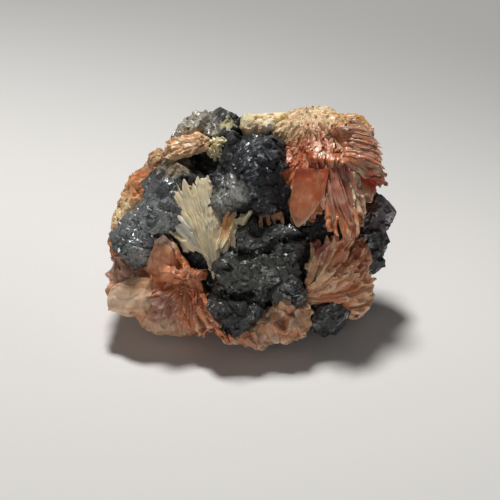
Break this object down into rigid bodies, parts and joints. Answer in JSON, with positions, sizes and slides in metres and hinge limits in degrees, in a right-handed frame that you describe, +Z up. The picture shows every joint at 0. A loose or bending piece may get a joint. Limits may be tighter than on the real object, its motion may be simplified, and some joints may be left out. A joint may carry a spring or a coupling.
{
  "type": "mineral specimen",
  "caption": "Loose hand specimen of dark galena that carries salmon barite blade fans and a pale cerussite fan, for display on a shelf.",
  "frame": {"origin": "middle of the flat galena facet that the rock rests on", "axes": "+X to the right across the display face, +Y away from the viewer, +Z up"},
  "size_m": [0.0756, 0.055, 0.0535],
  "materials": {
    "galena": "lead-grey metallic cleavage faces with a granular break",
    "salmon_barite": "translucent vitreous salmon blades, paler at their tips",
    "ochre_barite": "weathered ochre and rust rind, dull",
    "pale_cerussite": "silky cream plates",
    "cream_cerussite": "granular cream and yellow crust",
    "yellow_cerussite": "small greasy yellow crystals"
  },
  "bodies": {
    "root": {"galena_mass": "galena", "barite_fan_upper_right": "salmon_barite", "barite_fan_lower_right": "salmon_barite", "barite_cluster_lower_left": "salmon_barite", "barite_crust_lower_edge": "salmon_barite", "barite_blades_upper_left": "salmon_barite", "barite_laths_centre": "salmon_barite", "barite_fan_back": "salmon_barite", "barite_cluster_back": "salmon_barite", "barite_rind_left": "ochre_barite", "cerussite_fan": "pale_cerussite", "cerussite_crust_top": "cream_cerussite", "cerussite_crystals_upper_left": "yellow_cerussite"}
  },
  "joints": []
}
